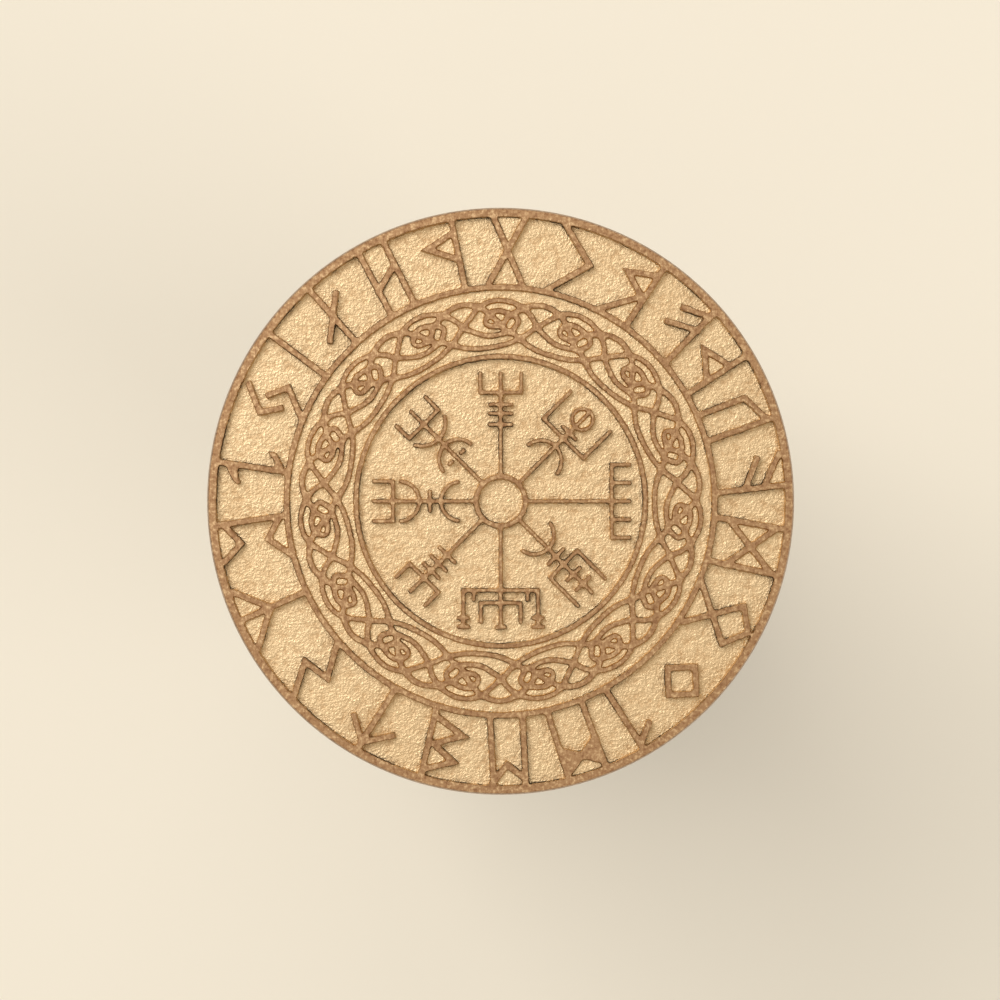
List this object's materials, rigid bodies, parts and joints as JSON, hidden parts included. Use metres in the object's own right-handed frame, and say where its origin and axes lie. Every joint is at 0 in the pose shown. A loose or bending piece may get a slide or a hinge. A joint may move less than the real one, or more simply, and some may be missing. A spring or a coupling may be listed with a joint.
{
  "type": "leather stamping tool",
  "caption": "Hand-struck leather stamp: round engraved brass die with a rune ring, plaited band and stave compass, plugged onto a turned wooden handle with a steel striking cap.",
  "frame": {"origin": "centre of the flat striking face, which the tool stands on", "axes": "+Z along the tool's axis from the striking face to the die, +Y towards the top of the pattern"},
  "size_m": [0.038, 0.038, 0.1244],
  "materials": {
    "die_brass": "bead-blasted ground, strokes browned by damp leather",
    "ferrule_brass": "spun and polished, handled",
    "turned_steel": "fine turned",
    "black_steel": "black oxide",
    "walnut": "oiled",
    "washer_leather": "vegetable-tanned, cut edge",
    "ring_rubber": "matt"
  },
  "bodies": {
    "handle": {"strike_cap": "turned_steel", "cap_pin": "turned_steel", "handle_grip": "walnut", "top_mark": "ferrule_brass", "ferrule": "ferrule_brass", "shock_washer": "washer_leather", "spindle": "turned_steel", "retaining_ring": "ring_rubber", "index_pin": "turned_steel"},
    "die": {"die_plate": "die_brass", "die_hub": "turned_steel", "hub_screw_1": "black_steel", "hub_screw_2": "black_steel", "hub_screw_3": "black_steel"}
  },
  "joints": [
    {"name": "die_lift", "type": "slide", "parent": "handle", "child": "die", "axis": [0, 0, 1], "range_m": [0, 0.016]}
  ]
}
